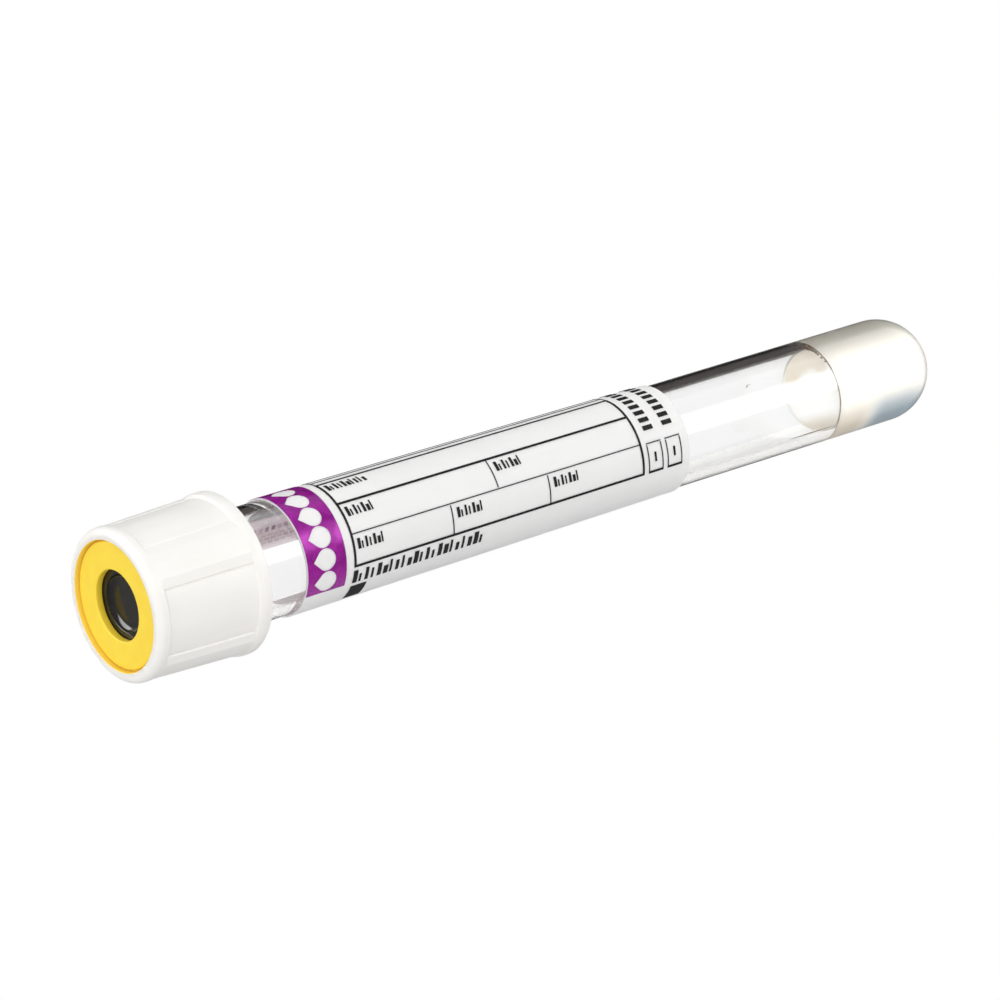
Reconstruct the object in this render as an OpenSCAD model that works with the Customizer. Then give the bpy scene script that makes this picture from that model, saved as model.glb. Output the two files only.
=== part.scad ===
// Evacuated blood collection tube with separator gel and a twist-off cap.
// Lengths in millimetres. Each piece is drawn about Z, with its round end at z = 0 and its mouth
// towards +Z. set_down() then turns the whole tube over and stands it on the flat front of its cap.

/* [Tube] */
// Length of the clear tube, from its round end to its mouth
tube_length = 101; // [90:1:110]
// Outer radius of the straight lower stretch and of the round end
body_r = 5.66; // [5.4:0.02:5.8]
// Outer radius at the mouth, where the mould's draft ends
mouth_r = 6.02; // [5.9:0.02:6.2]
// Thickness of the wall
wall = 0.95; // [0.8:0.05:1.1]
// Length of the straight lower stretch, from the round end
straight_length = 36; // [20:1:37]
// Length of the cylindrical neck that carries the thread
neck_length = 7.6; // [7.2:0.1:9]
// Rounding of the lip
lip_round = 0.25; // [0.1:0.05:0.4]

/* [Thread] */
// Travel of the cap in one turn
thread_lead = 4; // [3.6:0.1:4.4]
// Height of the ridge on the neck
thread_height = 0.58; // [0.4:0.02:0.7]
// Width of a ridge at its root
thread_root = 1.2; // [0.9:0.05:1.3]
// Width of a ridge at its crest
thread_crest = 0.6; // [0.4:0.05:0.8]
// Turns of the ridge on the neck
neck_turns = 1.1; // [0.8:0.05:1.2]
// Turns of the ridge inside the cap
cap_turns = 0.85; // [0.6:0.05:0.9]
// Free travel between the two ridges
thread_play = 0.15; // [0.1:0.01:0.25]
// Distance from the lip to the middle of the ridge's upper end
thread_inset = 1; // [0.9:0.05:1.2]

/* [Fits] */
// Running clearance round the stopper's plug
plug_fit = 0.03; // [0.02:0.01:0.08]
// Gap between faces that bear on each other
seat_gap = 0.05; // [0.02:0.01:0.1]
// Clearance round faces that never bear
free_gap = 0.25; // [0.2:0.01:0.4]
// Gap round the gel and under the label
film_gap = 0.02; // [0.01:0.01:0.05]

/* [Stopper] */
// Depth of the plug below the tube's lip
plug_depth = 6.2; // [5:0.1:8]
// Height of the flange above the tube's lip
flange_height = 5.2; // [3.5:0.1:6]
// Radius of the hollow under the plug
hollow_r = 2.9; // [2:0.1:3.5]
// Rubber left between the hollow and the dished top
septum = 3.4; // [2.5:0.1:4.5]
// Radius of the dish in the top
dish_r = 3.05; // [2:0.05:3.4]
// Depth of the dish
dish_depth = 0.55; // [0.2:0.05:0.9]
// Depth of the grooves between the sealing beads
bead_depth = 0.25; // [0.1:0.05:0.4]
// Number of sealing beads on the plug
beads = 3; // [2:1:4]

/* [Cap] */
// Length of the skirt below the tube's lip
skirt = 6.8; // [6.2:0.1:7.5]
// Outer radius of the collar at the open end
collar_r = 8.52; // [8.2:0.02:9]
// Length of the collar's straight band
collar_width = 0.8; // [0.6:0.05:1.4]
// Length of the slope from collar to grip
collar_slope = 0.5; // [0.4:0.05:1]
// Radius over the raised pads beside the collar
grip_back_r = 8.38; // [8.1:0.02:8.46]
// Radius over the raised pads at the front lip
grip_front_r = 8.02; // [7.8:0.02:8.2]
// Rounding of the front lip
lip_r = 0.8; // [0.4:0.05:1]
// Thickness of the web between ring and stopper
web = 0.4; // [0.3:0.05:1.2]
// Raised pads round the grip
pads = 4; // [3:1:5]
// Width of a pad over its sloped sides, as an angle
pad_angle = 35.4; // [30:0.2:38]
// Width of each sloped side, as an angle
side_angle = 7.6; // [5:0.2:9]
// Depth of the panels between the pads
panel_depth = 0.32; // [0.15:0.01:0.4]
// Length of the plain front lip before the panels start
front_band = 1.2; // [1:0.05:2]
// Rounding of the corners of the collar
collar_round = 0.2; // [0.1:0.05:0.3]

/* [Ring] */
// Radius of the recess that holds the ring
ring_r = 6.8; // [6.4:0.05:6.9]
// Thickness of the ring
ring_plate = 0.4; // [0.3:0.05:1.2]
// Depth of the ring's face below the front lip
ring_recess = 0.4; // [0.2:0.05:0.6]
// Radius of the needle hole
port_r = 3.69; // [3.5:0.01:4]
// Gap between the ring's edge and the wall of its recess
ring_gap = 0.2; // [0.05:0.05:0.25]
// Thickness of the neck round the needle hole
port_wall = 0.9; // [0.6:0.05:1.1]
// Rounding of the ring's front edges
ring_round = 0.15; // [0.05:0.05:0.25]

/* [Gel] */
// Height of the gel's edge above the round end
gel_height = 15.6; // [10:0.1:20]
// Depth of the gel's dished surface
gel_dish = 0.7; // [0.3:0.1:1.2]

/* [Label] */
// Clear tube left between the cap's collar and the label
label_clear = 5.9; // [2:0.1:8]
// Length of the label
label_length = 50.6; // [46:0.1:52]
// Thickness of the label
label_wall = 0.2; // [0.1:0.01:0.25]
// Width of the viewing gap along the back, as an angle
label_gap = 70; // [40:1:90]
// Middle of the viewing gap, as an angle round the tube
gap_middle = 219; // [200:1:240]
// Thickness of the printed ink
ink = 0.04; // [0.02:0.01:0.06]
// Distance from the label's upper end to the purple band
band_inset = 0.1; // [0.05:0.05:0.5]
// Width of the purple band along the label
band_width = 4.8; // [4:0.1:6]
// Distance from the band to the table
band_margin = 1; // [0.5:0.1:1.5]
// Length of the table along the label
table_length = 38.4; // [36:0.1:38.8]
// Width of a heavy ruled line
heavy_line = 0.26; // [0.2:0.01:0.35]
// Width of a light ruled line
light_line = 0.12; // [0.08:0.01:0.18]
// Height of the marks in the fields
mark_height = 1.1; // [0.8:0.05:1.3]
// Pitch of the marks in the fields
mark_pitch = 0.5; // [0.45:0.05:0.6]
// Height of the marks under the table
caption_height = 1.55; // [1.2:0.05:1.8]
// Pitch of the marks under the table
caption_pitch = 0.78; // [0.7:0.02:0.84]
// Angle between the two light lines above the table
strip_angle = 9; // [6:1:10]
// Width of a tick box and of the square key
box_width = 2; // [1.4:0.1:2.1]
// Space beside each tick box
box_margin = 0.6; // [0.3:0.05:0.6]

/* [Hidden] */
$fn = 96;
overlap = 0.15;      // how far a ridge sinks into the wall that carries it
through = 1;         // how far a cutter runs past the face it opens
steps_per_turn = 32; // slices of a ridge in one turn
run_out = 0.12;      // share of a ridge over which its ends fade out

// Places along the tube
bore_r = body_r - wall;
neck_bore_r = mouth_r - wall;
neck_start = tube_length - neck_length;
stopper_base = tube_length + seat_gap;
stopper_top = stopper_base + flange_height;
web_back = stopper_top + seat_gap;
web_front = web_back + web;
ring_front = web_front + ring_plate;
cap_front = ring_front + ring_recess;
cap_back = tube_length - skirt;
grip_back = cap_back + collar_width + collar_slope;
grip_front = cap_front - front_band;
cap_bore_r = mouth_r + thread_height + free_gap;
ridge_top = tube_length - thread_inset;
label_end = cap_back - label_clear;
label_start = label_end - label_length;
band_end = label_end - band_inset;
band_start = band_end - band_width;
table_end = band_start - band_margin;
table_start = table_end - table_length;
label_from = gap_middle + label_gap / 2 - 360;
label_sweep = 360 - label_gap;

// Rows of the table, as angles round the tube
rows = [-2.2, 32, 64.3, 95.6];

// The turn about Z that brings the middle of the table to the front, towards -Y
facing = -90 - (rows[0] + rows[3]) / 2;

// Outer radius of the tube at a height: straight, then the mould's draft, then the neck
function tube_r(z) =
    z <= straight_length ? body_r
    : z >= neck_start ? mouth_r
    : body_r + (mouth_r - body_r) * (z - straight_length) / (neck_start - straight_length);

// Turns a piece over, with its mouth down, the cap's front lip at z = 0 and the table to the front
module set_down() {
    translate([0, 0, cap_front])
        rotate([180, 0, facing])
            children();
}

// Half section of the tube at a distance inside its outer surface, with a round end
module tube_section(inset, top) {
    r = body_r - inset;
    intersection() {
        union() {
            translate([0, body_r])
                circle(r = r);
            polygon([
                [0, body_r],
                [r, body_r],
                [r, straight_length],
                [mouth_r - inset, neck_start],
                [mouth_r - inset, top],
                [0, top]
            ]);
        }
        square([mouth_r, tube_length + through]);
    }
}

// Half section of the tube's wall, with its rounded lip
module wall_section() {
    lip_centre = [mouth_r - lip_round, tube_length - lip_round];
    difference() {
        union() {
            tube_section(0, lip_centre[1]);
            translate(lip_centre)
                circle(r = lip_round, $fn = 32);
            translate([0, lip_centre[1]])
                square([lip_centre[0], lip_round]);
        }
        tube_section(wall, tube_length + through);
    }
}

// A helical ridge that climbs to z_top. A negative rise points it inwards. Its ends dip into the wall.
module ridge(r, rise, z_top, turns) {
    slices = ceil(turns * steps_per_turn);
    sink = sign(rise) * overlap;
    root = thread_root / 2 + overlap / 2;
    crest = thread_crest / 2;
    sides = 4;
    points = [
        for (i = [0:slices])
            let (share = i / slices,
                 angle = -share * turns * 360,
                 z = z_top - share * turns * thread_lead,
                 fade = min(1, share / run_out, (1 - share) / run_out),
                 tip = r + rise * fade - sink * (1 - fade) / 2)
                for (p = [[r - sink, -root], [tip, -crest], [tip, crest], [r - sink, root]])
                    [p[0] * cos(angle), p[0] * sin(angle), p[1] + z]
    ];
    skin = [
        for (i = [0:slices - 1])
            for (k = [0:sides - 1])
                let (a = i * sides + k,
                     b = i * sides + (k + 1) % sides)
                    [a, b, b + sides, a + sides]
    ];
    first = [for (k = [0:sides - 1]) sides - 1 - k];
    last = [for (k = [0:sides - 1]) slices * sides + k];
    faces = concat(skin, [first, last]);
    polyhedron(points, rise < 0 ? faces : [for (f = faces) [for (k = [len(f) - 1:-1:0]) f[k]]], 4);
}

// Clear tube: one moulding with a round end, a slight draft, a threaded neck and a rounded lip
module tube() {
    color([0.9, 0.93, 0.95, 0.4])
        set_down() {
            rotate_extrude()
                wall_section();
            ridge(mouth_r, thread_height, ridge_top, neck_turns);
        }
}

// Separator gel, set in the round end with a shallow dish in its face
module gel_plug() {
    dish_edge = bore_r - film_gap;
    dish_ball = (pow(dish_edge, 2) + pow(gel_dish, 2)) / (2 * gel_dish);
    color([0.93, 0.92, 0.88])
        set_down()
            difference() {
                union() {
                    translate([0, 0, body_r])
                        sphere(r = dish_edge);
                    translate([0, 0, body_r])
                        cylinder(r = dish_edge, h = gel_height - body_r);
                }
                translate([0, 0, gel_height - gel_dish + dish_ball])
                    sphere(r = dish_ball);
            }
}

// Rubber stopper: flange on the lip, beaded plug in the bore, hollow below, and a dished top
module stopper() {
    plug_r = neck_bore_r - plug_fit;
    flange_r = cap_bore_r - free_gap;
    base = stopper_base - plug_depth;
    pitch = plug_depth / beads;
    dish_ball = (pow(dish_r, 2) + pow(dish_depth, 2)) / (2 * dish_depth);
    color([0.16, 0.155, 0.15])
        set_down()
            difference() {
                union() {
                    translate([0, 0, stopper_base])
                        cylinder(r = flange_r, h = flange_height);
                    translate([0, 0, base])
                        cylinder(r = plug_r, h = plug_depth);
                }
                for (i = [0:beads - 1])
                    translate([0, 0, base + (i + 0.5) * pitch])
                        rotate_extrude()
                            translate([plug_r, 0])
                                scale(bead_depth)
                                    rotate(45)
                                        square(sqrt(2), center = true);
                translate([0, 0, base - through])
                    cylinder(r = hollow_r, h = stopper_top - septum - base + through);
                translate([0, 0, stopper_top - dish_depth + dish_ball])
                    sphere(r = dish_ball);
            }
}

// Half section of the cap's outside, from its axis outwards
module cap_outline() {
    polygon([
        [0, cap_back],
        [collar_r - collar_round, cap_back],
        [collar_r, cap_back + collar_round],
        [collar_r, cap_back + collar_width],
        [grip_back_r, grip_back],
        [grip_front_r, cap_front - lip_r],
        for (a = [15:15:75])
            [grip_front_r - lip_r + lip_r * cos(a), cap_front - lip_r + lip_r * sin(a)],
        [grip_front_r - lip_r, cap_front],
        [0, cap_front]
    ]);
}

// One sunk panel of the grip between the feet of two pads, with their sloped sides and draft
module panel(from, to) {
    depth = panel_depth;
    floor_r = grip_back_r - depth;
    taper = (grip_front_r - depth) / floor_r;
    steps = ceil((to - from) / 4);
    lean = 2 * side_angle;
    low = [for (i = [0:steps]) from + (to - from) * i / steps];
    high = [for (i = [steps:-1:0]) from - lean + (to - from + 2 * lean) * i / steps];
    translate([0, 0, grip_back])
        linear_extrude(grip_front - grip_back, scale = taper)
            polygon(concat(
                [for (a = low) floor_r * [cos(a), sin(a)]],
                [for (a = high) (grip_back_r + depth) * [cos(a), sin(a)]]
            ));
}

// White cap: collar, padded grip, front lip, web and inside thread in one moulding
module cap_shell() {
    pitch = 360 / pads;
    half = (pitch - pad_angle) / 2;
    color([0.96, 0.96, 0.94])
        set_down() {
            difference() {
                rotate_extrude()
                    cap_outline();
                for (i = [0:pads - 1])
                    panel(180 + i * pitch - half, 180 + i * pitch + half);
                translate([0, 0, cap_back - through])
                    cylinder(r = cap_bore_r, h = web_back - cap_back + through);
                translate([0, 0, web_back - through])
                    cylinder(r = port_r + port_wall + seat_gap, h = web + 2 * through);
                translate([0, 0, web_front])
                    cylinder(r = ring_r, h = ring_plate + ring_recess + through);
            }
            ridge(cap_bore_r, -thread_height, ridge_top - thread_root - thread_play, cap_turns);
        }
}

// Yellow ring: a plate in the cap's recess, with a short neck that lines the needle hole
module cap_ring() {
    plate_r = ring_r - ring_gap;
    color([0.99, 0.83, 0.2])
        set_down()
            rotate_extrude()
                polygon([
                    [port_r, web_back],
                    [port_r + port_wall, web_back],
                    [port_r + port_wall, web_front],
                    [plate_r, web_front],
                    [plate_r, ring_front - ring_round],
                    [plate_r - ring_round, ring_front],
                    [port_r + ring_round, ring_front],
                    [port_r, ring_front - ring_round]
                ]);
}

// A thin patch on the tube, between two heights and two angles round it, at a given lift
module patch(z0, z1, angle0, angle1, lift, thick) {
    bends = [for (z = [straight_length, neck_start]) if (z > z0 && z < z1) z];
    heights = concat([z0], bends, [z1]);
    inner = [for (z = heights) [tube_r(z) + lift, z]];
    outer = [for (i = [len(heights) - 1:-1:0]) [tube_r(heights[i]) + lift + thick, heights[i]]];
    rotate(-angle1)
        rotate_extrude(angle = angle1 - angle0)
            polygon(concat(inner, outer));
}

// A printed patch on the face of the label
module print_patch(z0, z1, angle0, angle1) {
    patch(z0, z1, angle0, angle1, film_gap + label_wall, ink);
}

// Angle that a length takes up round the label
function as_angle(length) = length * 180 / (PI * (mouth_r + label_wall));

// White wrap label, open along the back
module label() {
    color([0.95, 0.95, 0.96])
        set_down()
            patch(label_start, label_end, label_from, label_from + label_sweep, film_gap, label_wall);
}

// Purple field with a row of plain drops left out of it
module label_band() {
    drop_r = band_width * 0.24;
    color([0.6, 0.18, 0.59])
        set_down()
            difference() {
                print_patch(band_start, band_end, -62, 114);
                for (angle = [-8:22:102])
                    rotate(-angle)
                        translate([0, 0, (band_start + band_end) / 2])
                            rotate([90, 0, 90])
                                rotate(45)
                                    linear_extrude(mouth_r + through + label_wall) {
                                        circle(r = drop_r, $fn = 32);
                                        square(drop_r);
                                    }
            }
}

// One ruled line along the tube
module long_line(z0, z1, angle, width) {
    half = as_angle(width) / 2;
    print_patch(z0, z1, angle - half, angle + half);
}

// One ruled line across the tube, between two lines along it that are this wide
module cross_line(z, width, angle0, angle1, between) {
    clear = as_angle(between / 2 + film_gap);
    print_patch(z - width / 2, z + width / 2, angle0 + clear, angle1 - clear);
}

// A run of small upright marks of uneven widths and heights on one foot line, as wide as a printed word
module word_marks(z_end, angle, tall, count, pitch) {
    widths = [0.7, 0.34, 0.5, 0.34, 0.62];
    heights = [1, 0.66, 1, 0.8];
    for (i = [0:count - 1]) {
        z = z_end - i * pitch;
        foot = angle + as_angle(tall);
        print_patch(z - widths[i % len(widths)] * pitch, z, foot - as_angle(tall * heights[i % len(heights)]), foot);
    }
}

// An outline of four lines that don't quite touch, heavier along its foot
module outline_box(z0, z1, angle0, angle1, width, foot) {
    long_line(z0, z1, angle0, width);
    long_line(z0, z1, angle1, foot);
    cross_line(z0 + width / 2, width, angle0, angle1, foot);
    cross_line(z1 - width / 2, width, angle0, angle1, foot);
}

// The ruled table, its heavier lines first, and the two light lines of the strip above it
module table() {
    inset = heavy_line + film_gap;
    for (i = [1, 2])
        long_line(table_start + inset, table_end - inset, rows[0] - strip_angle * i, light_line);
    for (z = [table_start + heavy_line / 2, table_end - heavy_line / 2])
        cross_line(z, light_line, rows[0] - strip_angle * 2.6, rows[0], heavy_line);
    outline_box(table_start, table_end, rows[0], rows[3], heavy_line, heavy_line);
    long_line(table_start + inset, table_end - inset, rows[1], heavy_line);
    long_line(table_start + inset, table_end - inset, rows[2], light_line);
    cross_line(table_start + table_length / 2, light_line, rows[1], rows[2], heavy_line);
    for (share = [1 / 3, 2 / 3])
        cross_line(table_start + table_length * share, light_line, rows[2], rows[3], heavy_line);
}

// Marks where each field of the table has its heading
module field_marks() {
    drop = as_angle(mark_height / 2);
    first = table_end - mark_height * 0.6;
    word_marks(first, rows[0] + drop, mark_height, 10, mark_pitch);
    for (share = [0, 1 / 2])
        word_marks(first - table_length * share, rows[1] + drop, mark_height, 7, mark_pitch);
    for (share = [0, 1 / 3, 2 / 3])
        word_marks(first - table_length * share, rows[2] + drop, mark_height, 7, mark_pitch);
}

// Two columns beside the table, each a run of marks above an outlined tick box
module side_columns() {
    bar = as_angle(mark_height / 2);
    for (side = [0, 1]) {
        z = table_start - box_margin - side * (box_width + box_margin);
        middle = z - box_width / 2;
        outline_box(z - box_width, z, rows[2] + 1, rows[3], light_line, heavy_line);
        print_patch(middle - light_line, middle + light_line, rows[2] + 1 + 2 * bar, rows[3] - 2 * bar);
        for (angle = [rows[0] - 24:1.8 * bar:rows[1] + 18])
            print_patch(middle - box_width * 0.32, middle + box_width * 0.32, angle, angle + bar);
    }
}

// Black print: the table, the marks, the heavy line of marks under the table, and a square key
module label_print() {
    color([0.08, 0.08, 0.08])
        set_down() {
            table();
            field_marks();
            side_columns();
            word_marks(table_end, rows[3] + as_angle(heavy_line * 2), caption_height, 22, caption_pitch);
            print_patch(table_end - box_width, table_end, rows[3] + 23.5, rows[3] + 45);
        }
}

tube();
gel_plug();
stopper();
cap_shell();
cap_ring();
label();
label_band();
label_print();
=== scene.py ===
# %% [markdown]
# # A blood collection tube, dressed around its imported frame
# The frame holds the real sizes: clear tube, gel, rubber stopper, white screw cap, yellow ring and
# label. The tube stands on its cap, because a round tube rolls when it lies down. This lesson gives
# each piece its finished surface, and models again the ones whose edges or clear walls need more
# than the frame has.

# %% Load the frame
from math import atan2, cos, degrees, pi, radians, sin

import bmesh
import bpy
from mathutils import Matrix, Vector


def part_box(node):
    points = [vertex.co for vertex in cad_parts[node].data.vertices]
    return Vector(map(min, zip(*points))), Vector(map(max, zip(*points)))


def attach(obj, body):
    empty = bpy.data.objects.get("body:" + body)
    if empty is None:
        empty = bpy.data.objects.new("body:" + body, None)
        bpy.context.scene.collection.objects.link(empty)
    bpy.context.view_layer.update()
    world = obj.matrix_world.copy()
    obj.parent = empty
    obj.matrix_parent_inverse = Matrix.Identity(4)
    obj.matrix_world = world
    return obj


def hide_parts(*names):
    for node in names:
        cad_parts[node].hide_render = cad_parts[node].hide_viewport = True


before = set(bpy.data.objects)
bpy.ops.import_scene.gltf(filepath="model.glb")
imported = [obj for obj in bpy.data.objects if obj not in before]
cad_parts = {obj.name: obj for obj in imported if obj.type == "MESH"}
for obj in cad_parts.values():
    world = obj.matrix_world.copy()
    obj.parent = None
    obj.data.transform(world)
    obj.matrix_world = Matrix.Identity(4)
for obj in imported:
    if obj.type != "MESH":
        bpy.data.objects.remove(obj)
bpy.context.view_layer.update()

mm = 0.001
for name in sorted(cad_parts):
    low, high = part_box(name)
    print(f"{name}: {[round(v / mm, 2) for v in low]} to {[round(v / mm, 2) for v in high]} mm")

# %% [markdown]
# ## Places
# The axis of every round piece is Z, and the flat front of the cap stands at zero height. The tube
# hangs mouth down in its cap, with the round end on top. These heights could be typed in again. They
# are read off the frame's boxes instead, in millimetres, so the dressed pieces follow the frame if a
# length changes there.

# %% Read heights and radii from the frame
cap_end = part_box("cap_shell")[1].z / mm
collar_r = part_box("cap_shell")[1].x / mm
ring_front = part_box("cap_ring")[0].z / mm
ring_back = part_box("cap_ring")[1].z / mm
ring_plate_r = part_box("cap_ring")[1].x / mm
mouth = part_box("tube")[0].z / mm
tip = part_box("tube")[1].z / mm
gel_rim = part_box("gel_plug")[0].z / mm
stopper_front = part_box("stopper")[0].z / mm
stopper_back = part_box("stopper")[1].z / mm
flange_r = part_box("stopper")[1].x / mm
print("tube", round(tip - mouth, 2), "mm long, cap", round(cap_end, 2), "mm, gel from", round(gel_rim, 2))

# %% [markdown]
# Angles round the tube are counted from where its label's table starts, as they would be on the flat
# label. This turn brings them to the frame's own angles, which start at +X.

# %% The turn of the label and the thread
facing = -136.7


def polar(angle):
    """Angle round Z, in radians, of an angle round the label in degrees."""
    return radians(angle + facing)


print("the label's table starts", facing, "degrees from +X")

# %% [markdown]
# ## Camera
# A close wide lens would make the cap look much larger than the round end. A long lens from half a
# metre keeps the tube nearly as wide at its far end as at the cap. The camera looks at the cap's
# front from below and is turned on its side, so the standing tube lies across the view.

# %% Place the camera
view_azimuth = radians(16.305)
view_elevation = radians(-35.088)
view_roll = radians(72.68)
view_distance = 0.52397
view_target = Vector((0.5066, 2.8282, 50.0884)) * mm

turned = (Matrix.Rotation(view_azimuth, 3, "Z") @ Matrix.Rotation(pi / 2 - view_elevation, 3, "X")
          @ Matrix.Rotation(view_roll, 3, "Z"))
view_back = turned.col[2].copy()
camera_data = bpy.data.cameras.new("camera")
camera_data.lens = 180
camera_data.sensor_width = 36
camera = bpy.data.objects.new("camera", camera_data)
camera.matrix_world = Matrix.Translation(view_target + view_back * view_distance) @ turned.to_4x4()
bpy.context.scene.collection.objects.link(camera)
bpy.context.scene.camera = camera
print("camera at", [round(v, 3) for v in camera.matrix_world.translation])

# %% [markdown]
# ## Building node trees
# Materials and the world are both trees of nodes. Wired one socket at a time they take many lines,
# and the idea gets lost. One helper adds a node, sets its plain inputs and links the rest, so that
# each finish below reads as a short list of what it is made of.

# %% Helpers for nodes
def add(tree, kind, operation=None, inputs=None, **named):
    """A new node. Inputs are given by number in a dict or by name, as values or as other nodes' outputs."""
    made = tree.nodes.new(kind)
    if operation:
        made.operation = operation
    wanted = dict(inputs or {})
    wanted.update({key.replace("_", " "): value for key, value in named.items()})
    for key, value in wanted.items():
        if isinstance(value, bpy.types.NodeSocket):
            tree.links.new(value, made.inputs[key])
        else:
            made.inputs[key].default_value = value
    return made


def maths(tree, operation, *values):
    """The output of a Math node."""
    return add(tree, "ShaderNodeMath", operation, dict(enumerate(values))).outputs[0]


def ramp(tree, value, start, end, low=0.0, high=1.0, smooth=True):
    """Carries a value from one range to another, and stops at its ends."""
    made = add(tree, "ShaderNodeMapRange", Value=value, From_Min=start, From_Max=end, To_Min=low, To_Max=high)
    made.interpolation_type = "SMOOTHSTEP" if smooth else "LINEAR"
    return made.outputs["Result"]


def mixed(tree, share, first, second):
    """A colour between two colours, each a value or an output."""
    made = tree.nodes.new("ShaderNodeMix")
    made.data_type = "RGBA"
    for socket, value in ((made.inputs[0], share), (made.inputs[6], first), (made.inputs[7], second)):
        if isinstance(value, bpy.types.NodeSocket):
            tree.links.new(value, socket)
        else:
            socket.default_value = value
    return made.outputs[2]


# %% [markdown]
# Every finish starts from a Principled shader. Moulded plastic, film, ink and rubber have two things
# in common: a faint change of colour from place to place, and a surface that is never quite flat.
# Painted images could give both. Noise in Object coordinates needs no file, has no seams, and stays
# on the piece when it moves.

# %% Helpers for a new finish
def finish(name, **sockets):
    """A new material whose Principled shader has these values."""
    material = bpy.data.materials.new(name)
    material.use_nodes = True
    shader = material.node_tree.nodes["Principled BSDF"]
    for key, value in sockets.items():
        shader.inputs[key.replace("_", " ")].default_value = value
    return material


def to_shader(material, output, socket):
    """Links an output to the Principled shader of a material."""
    material.node_tree.links.new(output, material.node_tree.nodes["Principled BSDF"].inputs[socket])


def noise(material, per_mm, detail=3.0, stretch=None):
    """Noise with so many waves in a millimetre, drawn out along Z if asked."""
    tree = material.node_tree
    place = add(tree, "ShaderNodeTexCoord").outputs["Object"]
    if stretch:
        place = add(tree, "ShaderNodeMapping", Vector=place, Scale=(1, 1, 1 / stretch)).outputs["Vector"]
    return add(tree, "ShaderNodeTexNoise", Vector=place, Scale=per_mm / mm, Detail=detail).outputs["Fac"]


# %% [markdown]
# Raw noise stays close to grey, so each use stretches its middle range. Three helpers turn it into
# what a finish needs: drifting colour, bump and uneven gloss.

# %% Helpers for colour, bump and gloss
def wandering(material, per_mm, detail=3.0, stretch=None):
    """A share from 0 to 1 that drifts from place to place."""
    return ramp(material.node_tree, noise(material, per_mm, detail, stretch), 0.35, 0.65)


def mottle(material, colour, other, per_mm, detail=3.0, stretch=None):
    """A colour that drifts between two close values."""
    share = wandering(material, per_mm, detail, stretch)
    drift = mixed(material.node_tree, share, (*colour, 1), (*other, 1))
    to_shader(material, drift, "Base Color")
    return drift


def waviness(material, layers):
    """Bump in layers, each of (waves in a millimetre, depth in mm, stretch along Z)."""
    tree = material.node_tree
    normal = None
    for per_mm, depth, stretch in layers:
        height = noise(material, per_mm, 3.0, stretch)
        bump = add(tree, "ShaderNodeBump", Strength=1.0, Distance=depth * mm, Height=height)
        if normal:
            tree.links.new(normal, bump.inputs["Normal"])
        normal = bump.outputs["Normal"]
    to_shader(material, normal, "Normal")


def uneven_gloss(material, smooth, rough, per_mm):
    """Roughness that wanders between two values."""
    wander = ramp(material.node_tree, noise(material, per_mm, 4.0), 0.3, 0.7, smooth, rough)
    to_shader(material, wander, "Roughness")


# %% [markdown]
# ## Turning round pieces
# Almost everything here is round. A stack of cylinders would need many joins, so a lathe is the right
# way to make it: draw half a section, then spin it about Z. A section that starts and ends on the
# axis closes at its poles, and a closed loop makes a ring. Doubles are merged before the normals are
# recalculated, so that no pole stays open.

# %% Helpers for turned pieces
merge_distance = 0.0005


def arc(centre_r, centre_z, radius, start, end, steps):
    """Points (radius, height) on an arc, from one angle to another in degrees."""
    angles = (radians(start + (end - start) * i / steps) for i in range(steps + 1))
    return [(centre_r + radius * cos(a), centre_z + radius * sin(a)) for a in angles]


def divided(points, pieces):
    """The same path with evenly spaced points along each straight stretch."""
    made = [points[0]]
    for a, b in zip(points, points[1:]):
        made += [(a[0] + (b[0] - a[0]) * i / pieces, a[1] + (b[1] - a[1]) * i / pieces)
                 for i in range(1, pieces + 1)]
    return made


def section(bm, points, closed, start_angle=0.0):
    """Draws a half section, in millimetres, in a plane through the axis."""
    verts = [bm.verts.new((max(r, 0) * mm * cos(start_angle), max(r, 0) * mm * sin(start_angle), z * mm))
             for r, z in points]
    pairs = list(zip(verts, verts[1:])) + ([(verts[-1], verts[0])] if closed else [])
    return verts + [bm.edges.new(pair) for pair in pairs]


def spun(points, closed, steps):
    """A mesh that is spun once round Z from a half section."""
    bm = bmesh.new()
    bmesh.ops.spin(bm, geom=section(bm, points, closed), cent=(0, 0, 0), axis=(0, 0, 1),
                   dvec=(0, 0, 0), angle=2 * pi, steps=steps, use_merge=True)
    close_up(bm)
    return bm


def close_up(bm):
    """Merges doubles and turns every face outwards."""
    bmesh.ops.remove_doubles(bm, verts=bm.verts, dist=merge_distance * mm)
    bmesh.ops.recalc_face_normals(bm, faces=bm.faces)


# %% [markdown]
# A finished mesh becomes an object that rides on its body, names its material slot and stands for a
# node of the frame. Its object stays at the origin and its place is in its mesh, so patterns on
# Object coordinates lie still.

# %% Helpers for finished pieces
def as_object(name, bm):
    """A plain object in the scene, made from a mesh."""
    mesh = bpy.data.meshes.new(name)
    bm.to_mesh(mesh)
    bm.free()
    made = bpy.data.objects.new(name, mesh)
    bpy.context.scene.collection.objects.link(made)
    return made


def piece(name, bm, material, body, replaces=()):
    """Makes a finished object from a mesh, smooth, on its body and in its slot."""
    made = as_object(name, bm)
    made.data.shade_smooth()
    made.data.materials.append(material)
    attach(made, body)
    if replaces:
        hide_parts(*replaces)
    print(name, len(made.data.vertices), "vertices,", len(made.data.polygons), "faces")
    return made


# %% [markdown]
# ## The screw thread
# The neck of the tube and the inside of the cap carry the same right-handed ridge. It could be swept
# along a helix curve, but the spin operator makes it too: dvec lifts each copy of the section a
# little, so the spin becomes a helix. The ends are then drawn back towards the wall, because a
# moulded thread runs out smoothly.

# %% Helper for a helical ridge
thread_lead = 4.0
thread_height = 0.58
thread_root = 1.2
thread_crest = 0.6
ridge_sink = 0.15
run_out = 0.12


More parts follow.
